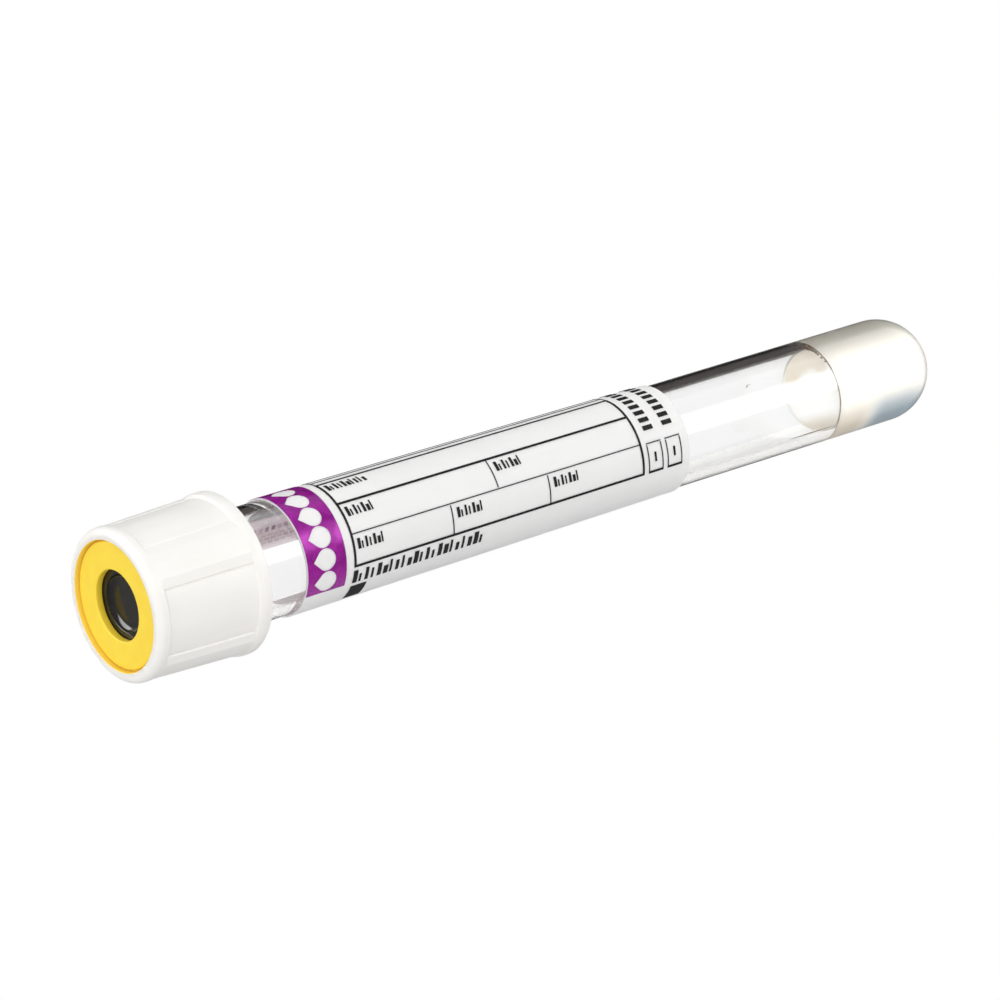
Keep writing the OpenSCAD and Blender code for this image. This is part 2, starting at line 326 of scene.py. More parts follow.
def ridge(bm, wall_r, rise, start_z, turns, steps_per_turn=60):
    """Adds a helical ridge to a wall, outwards or inwards by its rise, and closes it at both ends."""
    steps = round(turns * steps_per_turn)
    sink = ridge_sink if rise > 0 else -ridge_sink
    half_root = (thread_root + ridge_sink) / 2
    foot_r = wall_r - sink
    crest_r = wall_r + rise
    half_crest = thread_crest / 2
    corners = [(foot_r, -half_root), (crest_r, -half_crest), (crest_r, half_crest), (foot_r, half_root)]
    known = set(bm.verts)
    loop = section(bm, [(r, start_z + z) for r, z in corners], closed=True, start_angle=polar(0))
    first = bm.faces.new(loop[:4])
    bmesh.ops.spin(bm, geom=[*loop, first], cent=(0, 0, 0), axis=(0, 0, 1),
                   dvec=(0, 0, thread_lead * mm / steps_per_turn), angle=2 * pi * turns,
                   steps=steps, use_merge=False)
    made = [v for v in bm.verts if v not in known]
    for i, v in enumerate(made):
        share = (i // 4) / steps
        fade = min(1, share / run_out, (1 - share) / run_out)
        if i % 4 in (1, 2):
            reach = wall_r + rise * fade - sink * (1 - fade) / 2
            bmesh.ops.scale(bm, vec=(reach / crest_r, reach / crest_r, 1), verts=[v])


# %% [markdown]
# ## Clear tube
# The tube is one moulding of clear polyester with a wall of about a millimetre. One skin with a
# Solidify modifier would give an even wall, but the lip is rounded on its outside only. Clear plastic
# looks right when the mesh has both its outer and its inner skin, because light bends at each of
# them. So one section runs from the outer pole down to the lip and back up inside.

# %% Model the clear tube
body_r = 5.66
mouth_r = 6.02
tube_wall = 0.95
lip_round = 0.25
lip_flat = 0.4
neck_length = 7.6
straight_length = 36.0
straight_end = tip - straight_length
neck_top = mouth + neck_length
dome_z = tip - body_r
bore_r = body_r - tube_wall
neck_bore_r = mouth_r - tube_wall
wall_rows = 8
dome_rows = 24

outer_wall = [(body_r, dome_z), (body_r, straight_end), (mouth_r, neck_top), (mouth_r, mouth + lip_round)]
inner_wall = [(neck_bore_r, mouth + lip_flat), (neck_bore_r, neck_top), (bore_r, straight_end),
              (bore_r, dome_z)]
tube_section = (
    arc(0, dome_z, body_r, 90, 0, dome_rows) + divided(outer_wall, wall_rows)[1:]
    + arc(mouth_r - lip_round, mouth + lip_round, lip_round, 0, -90, 6)[1:] + [(neck_bore_r, mouth)]
    + divided(inner_wall, wall_rows) + arc(0, dome_z, bore_r, 0, 90, dome_rows)[1:]
)
tube_bm = spun(tube_section, closed=False, steps=160)
print("tube wall", len(tube_bm.faces), "faces")

# %% [markdown]
# The ridge on the neck could just dip into the wall, but inside clear plastic the hidden faces would
# show. So it is made as its own mesh and joined by a Boolean union, which leaves one body with no
# faces inside it.

# %% Join the neck's thread to the tube
def united(bm, other_bm):
    """The union of two closed meshes."""
    base = as_object("base", bm)
    other = as_object("other", other_bm)
    union = base.modifiers.new("union", "BOOLEAN")
    union.operation = "UNION"
    union.solver = "EXACT"
    union.object = other
    result = bmesh.new()
    result.from_mesh(base.evaluated_get(bpy.context.evaluated_depsgraph_get()).to_mesh())
    bpy.data.objects.remove(base)
    bpy.data.objects.remove(other)
    return result


neck_thread_z = mouth + 1.0
neck_thread_turns = 1.1
neck_thread = bmesh.new()
ridge(neck_thread, mouth_r, thread_height, neck_thread_z, neck_thread_turns)
close_up(neck_thread)
tube_bm = united(tube_bm, neck_thread)
print("tube with its thread", len(tube_bm.faces), "faces")

# %% [markdown]
# ## Clear polyester
# Polyester bends light more than acrylic does. A Glass shader would do for a clean pane, but full
# transmission in the Principled shader keeps the bump and the gloss with it. A little absorption
# inside the body makes the long ways through the wall greyer than the short ones, and the drawn-out
# waves run along the tube, as the mould and the core leave them.

# %% Finish of the clear tube
clear_plastic = finish("clear_polyester", Base_Color=(1, 1, 1, 1), IOR=1.57, Transmission_Weight=1.0)
mottle(clear_plastic, (1.0, 1.0, 1.0), (0.995, 0.998, 0.998), 0.1)
uneven_gloss(clear_plastic, 0.0, 0.02, 0.2)
waviness(clear_plastic, [(0.3, 0.006, 8), (1.2, 0.0008, 1)])
tube_tree = clear_plastic.node_tree
body_tint = add(tube_tree, "ShaderNodeVolumeAbsorption", Color=(0.8, 0.82, 0.84, 1), Density=15.0)
tube_tree.links.new(body_tint.outputs["Volume"], tube_tree.nodes["Material Output"].inputs["Volume"])
piece("clear_tube", tube_bm, clear_plastic, "tube", ["tube"])

# %% [markdown]
# ## Separator gel
# The gel was poured into the round end and wets the wall, so no air is left between them. It could be
# cut from the bore with a Boolean, but a spun section has cleaner rows. It reaches a hair into the
# plastic, which gives the same look: the gel fills the tube to its outline. Its face is dished and
# climbs the wall in a thin rim.

# %% Model the gel
wet = 0.012
gel_r = bore_r + wet
gel_dish = 0.7
dish_shape = [(0, 1), (0.25, 0.96), (0.5, 0.8), (0.7, 0.55), (0.85, 0.3), (0.94, 0.12), (0.985, 0.02), (1, 0)]
gel_face = [(gel_r * r, gel_rim + gel_dish * depth) for r, depth in dish_shape]
gel_side = divided([(gel_r, gel_rim), (gel_r, dome_z)], 6)[1:-1]
gel_bm = spun(gel_face + gel_side + arc(0, dome_z, gel_r, 0, 90, 20), closed=False, steps=96)
print("gel", len(gel_bm.faces), "faces")

# %% [markdown]
# The gel is milky: light goes in, scatters and comes out nearby, which is what subsurface scattering
# gives. Its tone isn't even, and a plain noise would put the changes anywhere. So the tones, most of
# them painted shade and painted light, are laid by place: by how far a point is from the axis, how
# high it is, and how far it lies towards the side that the tent leaves in shade.

# %% Helpers to place tones in the gel
gel = finish("separator_gel", IOR=1.4, Roughness=0.3, Subsurface_Weight=0.6,
             Subsurface_Radius=(1.0, 0.96, 0.88), Subsurface_Scale=1.2 * mm)
gel_tree = gel.node_tree
shaded_side = 16.3


def axis_distance(material):
    """Distance from the tube's axis, height, x and y, in millimetres."""
    tree = material.node_tree
    place = add(tree, "ShaderNodeTexCoord").outputs["Object"]
    apart = add(tree, "ShaderNodeSeparateXYZ", Vector=place)
    x, y, z = (maths(tree, "MULTIPLY", apart.outputs[i], 1 / mm) for i in range(3))
    squared = maths(tree, "MULTIPLY_ADD", x, x, maths(tree, "MULTIPLY", y, y))
    return maths(tree, "SQRT", squared), z, x, y


def towards_side(angle):
    """How far a point of the gel lies towards an angle from +X, in millimetres."""
    turn = radians(angle)
    return maths(gel_tree, "MULTIPLY_ADD", gel_x, cos(turn), maths(gel_tree, "MULTIPLY", gel_y, sin(turn)))


def above_rim(start, end):
    """A share that grows from one height to another, both counted from the gel's rim."""
    return ramp(gel_tree, gel_height, gel_rim + start, gel_rim + end)


def overlap(first, second):
    """The share where two shares meet."""
    return maths(gel_tree, "MULTIPLY", first, second)


gel_reach, gel_height, gel_x, gel_y = axis_distance(gel)
print("the gel's lowest side lies", shaded_side, "degrees from +X")

# %% [markdown]
# Painted shade darkens both sides of the gel across the view: the shaded side is cool and grey further
# in and darker beige near the rim, and the side across from it is warm grey. The dished face is
# whitened as painted light, with a beige painted shade on it towards the warm side. At the rim a thin,
# ragged brown line runs along the wall, on one side only.

# %% Finish of the gel
milk = (0.93, 0.90, 0.84, 1)
cream = (0.89, 0.87, 0.82, 1)
# Painted shade: grey for the gel's shaded side, and warm grey for the side across from it.
cool_painted_shade = (0.30, 0.37, 0.42, 1)
warm_painted_shade = (0.40, 0.385, 0.345, 1)
# Painted light whitens the dished face; the beige below it is painted shade on part of that face.
face_painted_light = (0.99, 0.985, 0.97, 1)
face_painted_shade = (0.80, 0.74, 0.64, 1)
# Painted shade: darker beige near the rim on the shaded side.
rim_painted_shade = (0.62, 0.56, 0.47, 1)
brown_line_tone = (0.16, 0.12, 0.08, 1)

across = towards_side(shaded_side)
# The two sides of the gel across the view, where painted shade is laid.
cool_shade_share = overlap(ramp(gel_tree, across, 2.0, 4.2), above_rim(3, 7))
warm_shade_share = ramp(gel_tree, across, -1.5, -4.5)
# The dished face, which painted light whitens, and the part of it under beige painted shade.
on_face = overlap(above_rim(0.9, 0.7), ramp(gel_tree, gel_reach, gel_r - 0.2, gel_r - 0.4))
face_shade_edge = maths(gel_tree, "MULTIPLY_ADD", noise(gel, 0.3), 4.0, across)
face_shade_share = overlap(on_face, ramp(gel_tree, face_shade_edge, 1.0, -0.6))
# Near the rim on the shaded side, where darker beige painted shade is laid.
rim_shade_share = overlap(ramp(gel_tree, across, 2.2, 4.2), above_rim(6, 3))
ragged = maths(gel_tree, "MULTIPLY_ADD", noise(gel, 1.5), 0.14, gel_height)
rim_line = ramp(gel_tree, ragged, gel_rim + 0.10, gel_rim + 0.19, 1, 0)
at_wall = ramp(gel_tree, gel_reach, gel_r - 0.25, gel_r - 0.1)
brown_line_side = ramp(gel_tree, towards_side(shaded_side - 90), -1.0, 1.0)
brown_rim_line = overlap(overlap(rim_line, at_wall), brown_line_side)

toned = mixed(gel_tree, wandering(gel, 0.2), milk, cream)
for share, tone in ((cool_shade_share, cool_painted_shade), (warm_shade_share, warm_painted_shade), (on_face, face_painted_light),
                    (face_shade_share, face_painted_shade), (rim_shade_share, rim_painted_shade), (brown_rim_line, brown_line_tone)):
    toned = mixed(gel_tree, share, toned, tone)
to_shader(gel, toned, "Base Color")
waviness(gel, [(0.5, 0.01, 1)])
piece("separator_gel", gel_bm, gel, "tube", ["gel_plug"])

# %% [markdown]
# A few crumbs of gel cling to the bore: some along the rim, a few further down the wall, and one thin
# run near the low side. A particle system could scatter them, but a short list puts each where gel
# really clings, and gives the same crumbs on each run. Each is a small ball, pressed flat against the
# wall, and the run is one that is drawn out.

# %% Model the crumbs
# Each crumb: angle round the label, distance past the gel's rim, radius, and length for its width.
crumbs = [(-8, 0.4, 0.3, 1), (-2, 0.35, 0.26, 1.2), (4, 0.5, 0.3, 0.8), (10, 0.4, 0.22, 1),
          (15, 0.3, 0.24, 0.7), (20, 0.35, 0.13, 1.2), (26, 0.25, 0.16, 0.8), (1, 1.1, 0.1, 1.5),
          (33, 0.2, 0.1, 1), (-6, 1.3, 0.12, 2), (33, 11.4, 0.08, 1), (35, 11.6, 0.07, 1.4),
          (32, 8.4, 0.04, 1), (33, 11.1, 0.05, 1.2), (119, 3.6, 0.07, 51)]
flatness = 0.35
pressed_in = 0.2
crumb_bm = bmesh.new()
for angle, past_rim, size, length in crumbs:
    centre = Vector((bore_r - size * pressed_in, 0, gel_rim - past_rim)) * mm
    place = (Matrix.Rotation(polar(angle), 4, "Z") @ Matrix.Translation(centre)
             @ Matrix.Diagonal((flatness, 1.0, length, 1)))
    bmesh.ops.create_icosphere(crumb_bm, subdivisions=2, radius=size * mm, matrix=place)
crumb_finish = finish("dried_gel", IOR=1.4)
mottle(crumb_finish, (0.03, 0.022, 0.015), (0.16, 0.10, 0.05), 1.5)
uneven_gloss(crumb_finish, 0.3, 0.6, 2.0)
piece("gel_crumbs", crumb_bm, crumb_finish, "tube")

# %% [markdown]
# ## Screw cap
# The cap is one white moulding: a rounded front lip, a grip with four raised pads, a collar at the
# open end, and inside it the web and the thread. Apart from the pads it is round, so it starts as one
# half section, a closed loop that goes up the outside, over the collar and back down the bore.

# %% Draw the cap's half section
lip_r = 0.8
grip_front_r = 8.02
grip_back_r = 8.38
grip_start = 1.2
grip_end = cap_end - 1.3
panel_front = grip_start + 0.35
panel_back = grip_end - 0.12
collar_start = cap_end - 0.8
cap_bore_r = 6.85
ring_seat_r = 6.8
port_seat_r = 4.64
seat_z = 0.8
collar_round = 0.2
seat_round = 0.08


def grip_r(z):
    """Radius over the pads at a height."""
    return grip_front_r + (grip_back_r - grip_front_r) * (z - lip_r) / (grip_end - lip_r)


grip_rows = [grip_start, panel_front, 3.4, 5.5, 7.6, 9.7, panel_back, grip_end]
bore_rows = [9.0, 5.0, ring_back]
cap_section = (
    arc(ring_seat_r + seat_round, seat_round, seat_round, 180, 270, 12)
    + arc(grip_front_r - lip_r, lip_r, lip_r, -90, 0, 14)
    + [(grip_r(z), z) for z in grip_rows]
    + [(collar_r, collar_start)]
    + arc(collar_r - collar_round, cap_end - collar_round, collar_round, 0, 90, 12)
    + arc(cap_bore_r + seat_round, cap_end - seat_round, seat_round, 90, 180, 12)
    + [(cap_bore_r, z) for z in bore_rows]
    + [(port_seat_r, ring_back), (port_seat_r, seat_z), (ring_seat_r, seat_z)]
)
print("the cap's half section has", len(cap_section), "points")

# %% [markdown]
# The pads could be cut out of a turned cap with Booleans, but that leaves ragged faces at their feet,
# and one even spin would let a foot fall between two columns. So the spin is made in stretches, pad
# by pad and panel by panel, and the mesh has a column wherever a foot, a side or a top begins.

# %% Spin the cap in stretches
pads = 4
panel_angle = 54.6
foot_angle = 0.6
side_angle = 7.0
top_angle = 20.2
panel_middle = 180.0
# Each stretch: its angle, and the number of steps in it.
stretches = [(panel_angle, 36), (foot_angle, 1), (side_angle, 1), (top_angle, 12), (side_angle, 1),
             (foot_angle, 1)]

cap_bm = bmesh.new()
geometry = section(cap_bm, cap_section, closed=True, start_angle=polar(panel_middle - panel_angle / 2))
for sweep, steps in stretches * pads:
    geometry = bmesh.ops.spin(cap_bm, geom=geometry, cent=(0, 0, 0), axis=(0, 0, 1), dvec=(0, 0, 0),
                              angle=radians(sweep), steps=steps, use_merge=False)["geom_last"]
close_up(cap_bm)
print("cap", len(cap_bm.faces), "faces, round by", pads * sum(sweep for sweep, steps in stretches), "degrees")

# %% [markdown]
# The panels between the pads are sunk by scaling their columns towards the axis. The foot of a pad is
# a small steep step, and its side is a long slope, which is what a thumb feels and what catches light.
# The last column of a panel is sunk a little more, which leaves a fold line along each foot.

# %% Sink the panels between the pads
panel_depth = 0.32
foot_depth = 0.22
crease_depth = 0.14
cap_wall_middle = cap_bore_r + 0.5
near_angle = 0.1
near_z = 0.01


def off_panel(v):
    """Angle between a vertex and the middle of the nearest panel, in degrees."""
    turn = 360 / pads
    return abs((degrees(atan2(v.co.y, v.co.x)) - facing - panel_middle + turn / 2) % turn - turn / 2)


grip = [v for v in cap_bm.verts if v.co.xy.length > cap_wall_middle * mm
        and panel_front - near_z < v.co.z / mm < panel_back + near_z]
floor = [v for v in grip if off_panel(v) < panel_angle / 2 + near_angle]
feet = [v for v in grip if abs(off_panel(v) - panel_angle / 2 - foot_angle) < near_angle]
crease = [v for v in floor if off_panel(v) > panel_angle / 2 - near_angle]
for verts, depth in ((floor, panel_depth), (crease, crease_depth), (feet, foot_depth)):
    inward = 1 - depth / grip_r(grip_end / 2)
    bmesh.ops.scale(cap_bm, vec=(inward, inward, 1), verts=verts)
print(len(floor), "vertices in the panels,", len(feet), "at the pads' feet,", len(crease), "in the folds")

# %% [markdown]
# The thread inside the cap lies just above the tube's own, with a little play, so turning the cap
# draws the tube out. It needs no Boolean: the cap is opaque, so the ridge may simply dip into the wall.

# %% Add the inside thread
thread_play = 0.15
cap_thread_z = neck_thread_z + thread_root + thread_play
cap_thread_turns = 0.85
ridge(cap_bm, cap_bore_r, -thread_height, cap_thread_z, cap_thread_turns)
bmesh.ops.recalc_face_normals(cap_bm, faces=cap_bm.faces)
print("cap with its thread", len(cap_bm.faces), "faces")

# %% [markdown]
# ## White polythene
# Polythene is soft and waxy: a broad sheen, a little light let through, and fine lines along the grip
# where the mould was polished. A plain glossy white would look like china, so some scattering and a
# middling roughness are used. On the recess wall next to the yellow ring, the yellow light that the
# ring throws there is painted into the colour, as a painted reflection. Corners are rounded by a live
# Bevel modifier, and Weighted Normal keeps the broad faces flat beside them.

# %% Finish of the cap
def soften(made, width, angle, segments=3):
    """Rounds corners sharper than an angle, then evens the shading."""
    bevel = made.modifiers.new("rounded_corners", "BEVEL")
    bevel.width = width * mm
    bevel.segments = segments
    bevel.limit_method = "ANGLE"
    bevel.angle_limit = radians(angle)
    made.modifiers.new("even_shading", "WEIGHTED_NORMAL")


# Painted reflection: the yellow that the ring's light would cast on the white recess wall beside it.
painted_ring_bounce = (0.96, 0.68, 0.09, 1)
white_plastic = finish("white_polythene", IOR=1.5, Subsurface_Weight=0.15,
                       Subsurface_Radius=(1.0, 0.9, 0.75), Subsurface_Scale=0.6 * mm)
cap_tree = white_plastic.node_tree
cap_reach, cap_height = axis_distance(white_plastic)[:2]
body_white = mottle(white_plastic, (0.915, 0.905, 0.885), (0.89, 0.88, 0.855), 0.35, stretch=3)
# The recess wall next to the ring, which takes that painted reflection.
ring_bounce_share = maths(cap_tree, "MULTIPLY", ramp(cap_tree, cap_reach, ring_seat_r + 0.12, ring_seat_r + 0.02),
                  ramp(cap_tree, cap_height, seat_z + 0.05, seat_z))
to_shader(white_plastic, mixed(cap_tree, ring_bounce_share, body_white, painted_ring_bounce), "Base Color")
uneven_gloss(white_plastic, 0.4, 0.52, 0.8)
waviness(white_plastic, [(1.6, 0.009, 40), (5.0, 0.001, 1)])
screw_cap = piece("screw_cap", cap_bm, white_plastic, "cap", ["cap_shell"])
soften(screw_cap, 0.07, 9)

# %% [markdown]
# ## Yellow ring
# The ring is a flat plate that lies in the cap's front with a thin gap round it, and a short neck
# that guides the needle. The gap is what draws the dark line round the yellow. Plate and neck could
# be two pieces, but on the real one they are one moulding, so one half section makes both.

# %% Model and finish the ring
port_r = 3.69
port_wall = 0.9
port_outer_r = port_r + port_wall
plate_radii = [port_r, 4.2, 6.0, ring_plate_r]
ring_section = ([(r, ring_front) for r in plate_radii]
                + [(ring_plate_r, seat_z), (port_outer_r, seat_z)]
                + [(port_outer_r, ring_back), (port_r, ring_back)])
yellow_plastic = finish("yellow_plastic", IOR=1.5, Subsurface_Weight=0.1,
                        Subsurface_Radius=(1.0, 0.6, 0.2), Subsurface_Scale=0.4 * mm)
mottle(yellow_plastic, (0.99, 0.73, 0.05), (0.97, 0.70, 0.044), 0.6)
uneven_gloss(yellow_plastic, 0.42, 0.52, 1.0)
waviness(yellow_plastic, [(4.0, 0.003, 1)])
port_ring = piece("port_ring", spun(ring_section, closed=True, steps=128), yellow_plastic,
                  "cap", ["cap_ring"])
soften(port_ring, 0.12, 30)

# %% [markdown]
# ## Rubber stopper
# The stopper's flange sits on the tube's lip and its plug seals the bore with soft beads. Its face
# closes the ring's hole from behind, with a shallow dish where the needle goes in. A plain arc would
# make the dish one bowl. A high power of the radius gives it a flat floor and a quick, round rim,
# which catches the light in a thin crescent.

# %% Draw the stopper's half section
flange_height = 5.2
plug_play = 0.03
flange_back = stopper_front + flange_height
plug_r = neck_bore_r - plug_play
hollow_r = 2.9
hollow_z = stopper_front + 3.4
dish_r = 3.05
dish_depth = 0.55
dish_power = 14
dish_rows = 14
bead_depth = 0.25
bead_count = 3
bead_pitch = (stopper_back - flange_back) / bead_count

dish_steps = [sin(pi / 2 * i / dish_rows) for i in range(dish_rows + 1)]
dish = [(dish_r * share, stopper_front + dish_depth * (1 - share ** dish_power)) for share in dish_steps]
beads = []
for i in range(bead_count):
    middle = flange_back + (i + 0.5) * bead_pitch
    beads += [(plug_r, middle - bead_depth), (plug_r - bead_depth, middle), (plug_r, middle + bead_depth)]
stopper_section = (dish + [(flange_r, stopper_front), (flange_r, flange_back), (plug_r, flange_back)] + beads
                   + [(plug_r, stopper_back), (hollow_r, stopper_back), (hollow_r, hollow_z), (0, hollow_z)])
print("the stopper's half section has", len(stopper_section), "points")

# %% [markdown]
# New rubber of this kind is nearly black and, where the mould was polished, rather glossy. Its fine
# grain is left to bump, because it is far too small to model.

# %% Finish of the stopper
black_rubber = finish("black_rubber", IOR=1.52)
mottle(black_rubber, (0.010, 0.0095, 0.009), (0.016, 0.015, 0.014), 1.2)
uneven_gloss(black_rubber, 0.1, 0.17, 2.0)
waviness(black_rubber, [(6.0, 0.003, 1)])
rubber_stopper = piece("rubber_stopper", spun(stopper_section, closed=False, steps=96), black_rubber,
                       "stopper", ["stopper"])
soften(rubber_stopper, 0.12, 12)

# %% [markdown]
# ## Label
# The label is a white film wrapped round the tube, open along the back so the sample shows. Its
# shape in the frame is right, so only its finish is new. The film lets some light through, so its
# shader scatters all of it inside. Two materials could serve its two faces. One is enough, because it
# tells them apart by how far a point is from the axis: the back is pinker and darker than the face.

# %% Helpers for the label film
label_film = finish("label_film", IOR=1.5, Subsurface_Weight=1.0, Subsurface_Radius=(1.0, 0.97, 0.95),
                    Subsurface_Scale=0.4 * mm)
film_tree = label_film.node_tree
film_reach, film_height, film_x, film_y = axis_distance(label_film)
film_middle = 0.12
draft = (body_r - mouth_r) / (straight_end - neck_top)
middle_r = maths(film_tree, "MULTIPLY_ADD", film_height, draft, body_r - straight_end * draft + film_middle)
on_back = maths(film_tree, "LESS_THAN", film_reach, middle_r)
around = maths(film_tree, "MULTIPLY", maths(film_tree, "ARCTAN2", film_y, film_x), 180 / pi)


def bars(angle, row, first, last, length, gap):
    """Rows of small bars in two strengths, between two angles from +X in degrees."""
    along = add(film_tree, "ShaderNodeCombineXYZ", X=film_height,
                Y=maths(film_tree, "MULTIPLY", maths(film_tree, "SUBTRACT", around, angle), radians(body_r)))
    brick = add(film_tree, "ShaderNodeTexBrick", Vector=along.outputs[0], Scale=1.0, Mortar_Size=gap,
                Mortar_Smooth=0.1, Brick_Width=length, Row_Height=row, Mortar=(0, 0, 0, 1),
                Color1=(1, 1, 1, 1), Color2=(0.35, 0.35, 0.35, 1))
    within = maths(film_tree, "MULTIPLY", maths(film_tree, "GREATER_THAN", around, first),
                   maths(film_tree, "LESS_THAN", around, last))
    return maths(film_tree, "MULTIPLY", brick.outputs["Color"], within)


print("the label's radius shrinks by", round(-draft, 4), "mm in each mm of height")

# %% [markdown]
# Near one edge a block of fine print runs along the label, in grey and purple, and shows faintly
# through the film from inside. It could be cut as geometry, as the marks on the face are, but it is
# only a stain in the film, so a Brick Texture draws it: each brick is a word.

# %% Finish of the label film
face_tones = [(0.93, 0.93, 0.93, 1), (0.90, 0.90, 0.905, 1)]
back_tones = [(0.95, 0.85, 0.88, 1), (0.88, 0.77, 0.81, 1)]
print_grey = (0.24, 0.18, 0.22, 1)
print_purple = (0.30, 0.08, 0.26, 1)
fine_print = bars(angle=118, row=0.46, first=121, last=134, length=0.8, gap=0.09)
word_print = bars(angle=137, row=0.95, first=137, last=146.5, length=0.8, gap=0.16)
film = mixed(film_tree, on_back, mixed(film_tree, wandering(label_film, 0.15), *face_tones),
             mixed(film_tree, wandering(label_film, 1.2), *back_tones))
for bar, strength, ink in ((fine_print, 0.4, print_grey), (word_print, 0.65, print_purple)):
    film = mixed(film_tree, maths(film_tree, "MULTIPLY", bar, strength), film, ink)
to_shader(label_film, film, "Base Color")
uneven_gloss(label_film, 0.42, 0.55, 0.5)
waviness(label_film, [(0.8, 0.003, 2), (0.1, 0.02, 3)])
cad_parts["label"].data.materials[0] = label_film
print("label film of", len(film_tree.nodes), "nodes")

# %% [markdown]
# ## Printed inks
# The purple field is a glossy ink on a slightly crinkled film, so the light breaks up on it. An even
# purple with an even gloss would look like paint. Two purples in patches, and bump as deep as the
# film's crinkles, give the broken sheen. The black ink is thin and dull.

# %% Finish of the inks
purple_ink = finish("purple_ink", IOR=1.75, Specular_Tint=(1.0, 0.2, 0.95, 1))
mottle(purple_ink, (0.29, 0.010, 0.27), (0.21, 0.006, 0.20), 0.6)
uneven_gloss(purple_ink, 0.14, 0.4, 0.9)
waviness(purple_ink, [(0.6, 0.035, 1), (2.5, 0.003, 1)])
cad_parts["label_band"].data.materials[0] = purple_ink

black_ink = finish("black_ink", IOR=1.3)
mottle(black_ink, (0.006, 0.005, 0.006), (0.016, 0.014, 0.015), 2.0)
uneven_gloss(black_ink, 0.5, 0.65, 2.0)
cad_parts["label_print"].data.materials[0] = black_ink
print("inks:", purple_ink.name, "and", black_ink.name)

# %% [markdown]
# ## Floor
# The floor is a pale sheet that shows the object's shadow. A floor that every ray sees would hide the
# cap's front from below and throw light back into the clear plastic. So only the camera sees it, and
# only from above, and to every other ray it is clear. It glows a little, which keeps it nearly white.

# %% Lay the floor
floor_r = 3.0
floor_bm = bmesh.new()
bmesh.ops.create_circle(floor_bm, cap_ends=True, radius=floor_r, segments=64)
floor_sheet = as_object("floor", floor_bm)

pale_floor = finish("pale_floor", Base_Color=(0.93, 0.93, 0.93, 1), Roughness=0.9,
                    Emission_Color=(1, 1, 1, 1), Emission_Strength=0.34)
floor_tree = pale_floor.node_tree
ray = add(floor_tree, "ShaderNodeLightPath")
underside = add(floor_tree, "ShaderNodeNewGeometry").outputs["Backfacing"]
upper_side = maths(floor_tree, "SUBTRACT", 1.0, underside)
seen = maths(floor_tree, "MULTIPLY", ray.outputs["Is Camera Ray"], upper_side)
clear_sheet = add(floor_tree, "ShaderNodeBsdfTransparent")
floor_look = add(floor_tree, "ShaderNodeMixShader", inputs={
    0: seen, 1: clear_sheet.outputs[0], 2: floor_tree.nodes["Principled BSDF"].outputs[0]})
floor_tree.links.new(floor_look.outputs[0], floor_tree.nodes["Material Output"].inputs["Surface"])
floor_sheet.data.materials.append(pale_floor)
print("floor of", len(floor_tree.nodes), "nodes,", 2 * floor_r, "m across")

# %% [markdown]
# ## Studio light
# The world is a white tent round the object. It could be an image of a studio, but nodes need no
# file, and they let each kind of ray see a tent of its own, as a studio does with cards and cloths
# that only one surface mirrors. A soft patch in the tent is made from how nearly a ray points the
# patch's way.

# %% Helpers for the tent
world = bpy.data.worlds.new("studio")
bpy.context.scene.world = world
world.use_nodes = True
studio = world.node_tree
studio.nodes.clear()
ray_direction = add(studio, "ShaderNodeTexCoord").outputs["Generated"]


def towards(angle, elevation):
    """A direction from the object, by its angle round Z and above the floor in degrees."""
    a, e = radians(angle), radians(elevation)
    return Vector((cos(a) * cos(e), sin(a) * cos(e), sin(e)))


def likeness(wanted):
    """How nearly a ray points in the wanted direction, from -1 to 1."""
    return add(studio, "ShaderNodeVectorMath", "DOT_PRODUCT", {0: ray_direction, 1: wanted}).outputs["Value"]


def patch(way, edge, full, outside, inside):
    """A round patch of the tent, by the half angles in degrees where it begins and where it is full."""
    return ramp(studio, likeness(way), cos(radians(edge)), cos(radians(full)), outside, inside)


print("the camera looks towards", [round(-v, 2) for v in view_back])

# %% [markdown]
# Dull surfaces are lit by a gradient, bright and warm in front and below, and dim and cool behind and
# above, with one grey side. It is smooth, so that it shapes the forms without drawing edges.

# %% What dull surfaces see
tent_dim = (0.41, 0.42, 0.43, 1)
tent_bright = (1.33, 1.315, 1.29, 1)
side_grey = (0.18, 0.18, 0.185, 1)
bright_share = ramp(studio, likeness(towards(-80, -44)), -1, 1, smooth=False)
side_share = ramp(studio, likeness(towards(20, 5)), 0.1, 0.95, 0, 0.4)
tent = mixed(studio, side_share, mixed(studio, bright_share, tent_dim, tent_bright), side_grey)
print("tent between", tent_dim[:3], "and", tent_bright[:3])

# %% [markdown]
# Glossy faces mirror a tent that is white high behind the object and grey elsewhere. Two windows in
# it give the highlights on the cap, the inks and the wall, and three cloths keep it dark where the
# edges of the clear tube look.

# %% What glossy faces see
dark_way = towards(151, 35)
grey_way = towards(67, 35)
windows = [patch(towards(-84, 35), 22, 4, 0, 5.0), patch(towards(172, -45), 32, 20, 0, 7.0)]
cloths = [patch(dark_way, 37, 22, 1, 0.02), patch(grey_way, 34, 12, 1, 0.3),
          patch(towards(112, 60), 28, 12, 1, 0.15)]
high_behind = maths(studio, "MULTIPLY", ramp(studio, likeness(-view_back), -0.2, 0.3),
                    ramp(studio, likeness((0, 0, 1)), -0.1, 0.35))
gloss_tent = maths(studio, "MULTIPLY_ADD", high_behind, 0.7, 0.3)
for window in windows:
    gloss_tent = maths(studio, "ADD", gloss_tent, window)
for cloth in cloths:
    gloss_tent = maths(studio, "MULTIPLY", gloss_tent, cloth)
print(len(windows), "windows and", len(cloths), "cloths")

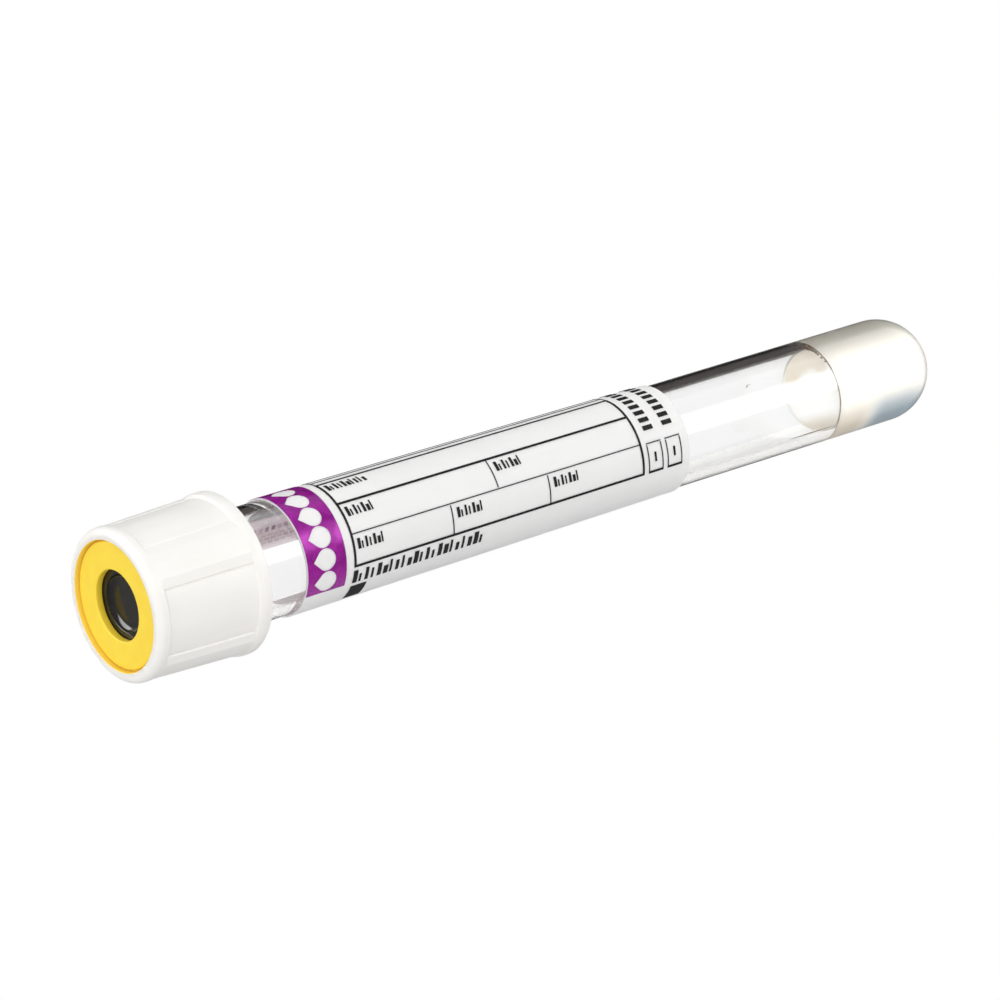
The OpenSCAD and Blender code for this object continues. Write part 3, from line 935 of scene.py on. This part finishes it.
# %% [markdown]
# The camera, and rays that have gone straight through clear plastic, see plain white. Rays that were
# mirrored inside the clear wall and then leave it see dark on one side and grey on the other, which
# draws the tube's two edges. Dull surfaces behind clear plastic see the tent brighter than it is,
# because little light finds its way to them through two curved skins. That is a help, not physics.

# %% Join the tents by the path of each ray
plain_white = (1, 1, 1, 1)
wall_grey = (0.76, 0.76, 0.755, 1)
wall_dark = (0.015, 0.012, 0.012, 1)
behind_plastic = 1.55

path = add(studio, "ShaderNodeLightPath").outputs
undiffused = maths(studio, "LESS_THAN", path["Diffuse Depth"], 0.5)
diffused = maths(studio, "SUBTRACT", 1.0, undiffused)
through = maths(studio, "GREATER_THAN", path["Transmission Depth"], 0.5)
mirrored = maths(studio, "GREATER_THAN", path["Glossy Depth"], 0.5)
glossy = maths(studio, "MULTIPLY", path["Is Glossy Ray"], undiffused)
straight = maths(studio, "MAXIMUM", path["Is Camera Ray"], path["Is Transmission Ray"])
plain = maths(studio, "MULTIPLY", maths(studio, "MAXIMUM", straight, through), undiffused)

in_wall = maths(studio, "MULTIPLY", mirrored, path["Is Transmission Ray"])
wall_tone = mixed(studio, patch(dark_way, 47, 37, 0, 1), wall_grey, wall_dark)
backdrop = mixed(studio, in_wall, plain_white, wall_tone)
colour = mixed(studio, plain, mixed(studio, glossy, tent, gloss_tent), backdrop)
lift = maths(studio, "MULTIPLY", diffused, through)
strength = maths(studio, "MULTIPLY_ADD", lift, behind_plastic, 1.0)
tent_light = add(studio, "ShaderNodeBackground", Color=colour, Strength=strength)
add(studio, "ShaderNodeOutputWorld", Surface=tent_light.outputs[0])
print("world of", len(studio.nodes), "nodes")

# %% [markdown]
# ## Lamp
# The tent alone lights every side nearly the same, and a sun lamp would draw hard shadows. One wide
# softbox gives the forms a side and the floor a soft shadow.

# %% Place the softbox
aim = Vector((0, 0, tip * mm / 2))
key_way = towards(-115, 40)
key_distance = 0.8
key = bpy.data.lights.new("key_softbox", "AREA")
key.shape = "RECTANGLE"
key.size = 0.35
key.size_y = 0.5
key.energy = 0.25
key.color = (1.0, 0.985, 0.96)
key_box = bpy.data.objects.new("key_softbox", key)
key_box.location = aim + key_way * key_distance
key_box.rotation_euler = key_way.to_track_quat("Z", "Y").to_euler()
key_box.visible_glossy = False
key_box.visible_transmission = False
bpy.context.scene.collection.objects.link(key_box)
print("softbox at", [round(v, 2) for v in key_box.location])

# %% [markdown]
# ## Flags
# The clear wall bends the view to both sides, so a dark and a grey card stand there, and the plastic
# gets edges that stand out from white. Patches of the tent could do it too, but a card has a straight
# edge that runs along the tube. Only clear plastic sees the cards, because glossy faces would mirror
# their outlines.

# %% Place the flags
flag_distance = 0.5


def flag(name, way, width, height, shade):
    """A card beside the object that only clear plastic sees."""
    bm = bmesh.new()
    bmesh.ops.create_grid(bm, x_segments=1, y_segments=1, size=0.5)
    turn = way.to_track_quat("Z", "Y").to_matrix().to_4x4()
    place = Matrix.Translation(aim + way * flag_distance) @ turn @ Matrix.Diagonal((width, height, 1, 1))
    bmesh.ops.transform(bm, verts=bm.verts, matrix=place)
    card = as_object(name, bm)
    felt = finish(name, Roughness=1.0)
    mottle(felt, shade, [v * 1.2 for v in shade], 0.01)
    card.data.materials.append(felt)
    card.visible_camera = False
    card.visible_diffuse = False
    card.visible_glossy = False
    card.visible_shadow = False
    print(name, width, "by", height, "m")


flag("dark_flag", towards(152.5, 35), 0.28, 0.5, (0.03, 0.026, 0.025))
flag("grey_flag", grey_way, 0.40, 0.5, (0.33, 0.33, 0.325))

# %% [markdown]
# ## Colours
# A filmic view would soften the white and the yellow. The Standard view shows each colour about as it
# is written.

# %% Set the view
scene = bpy.context.scene
scene.view_settings.view_transform = "Standard"
bpy.context.view_layer.update()
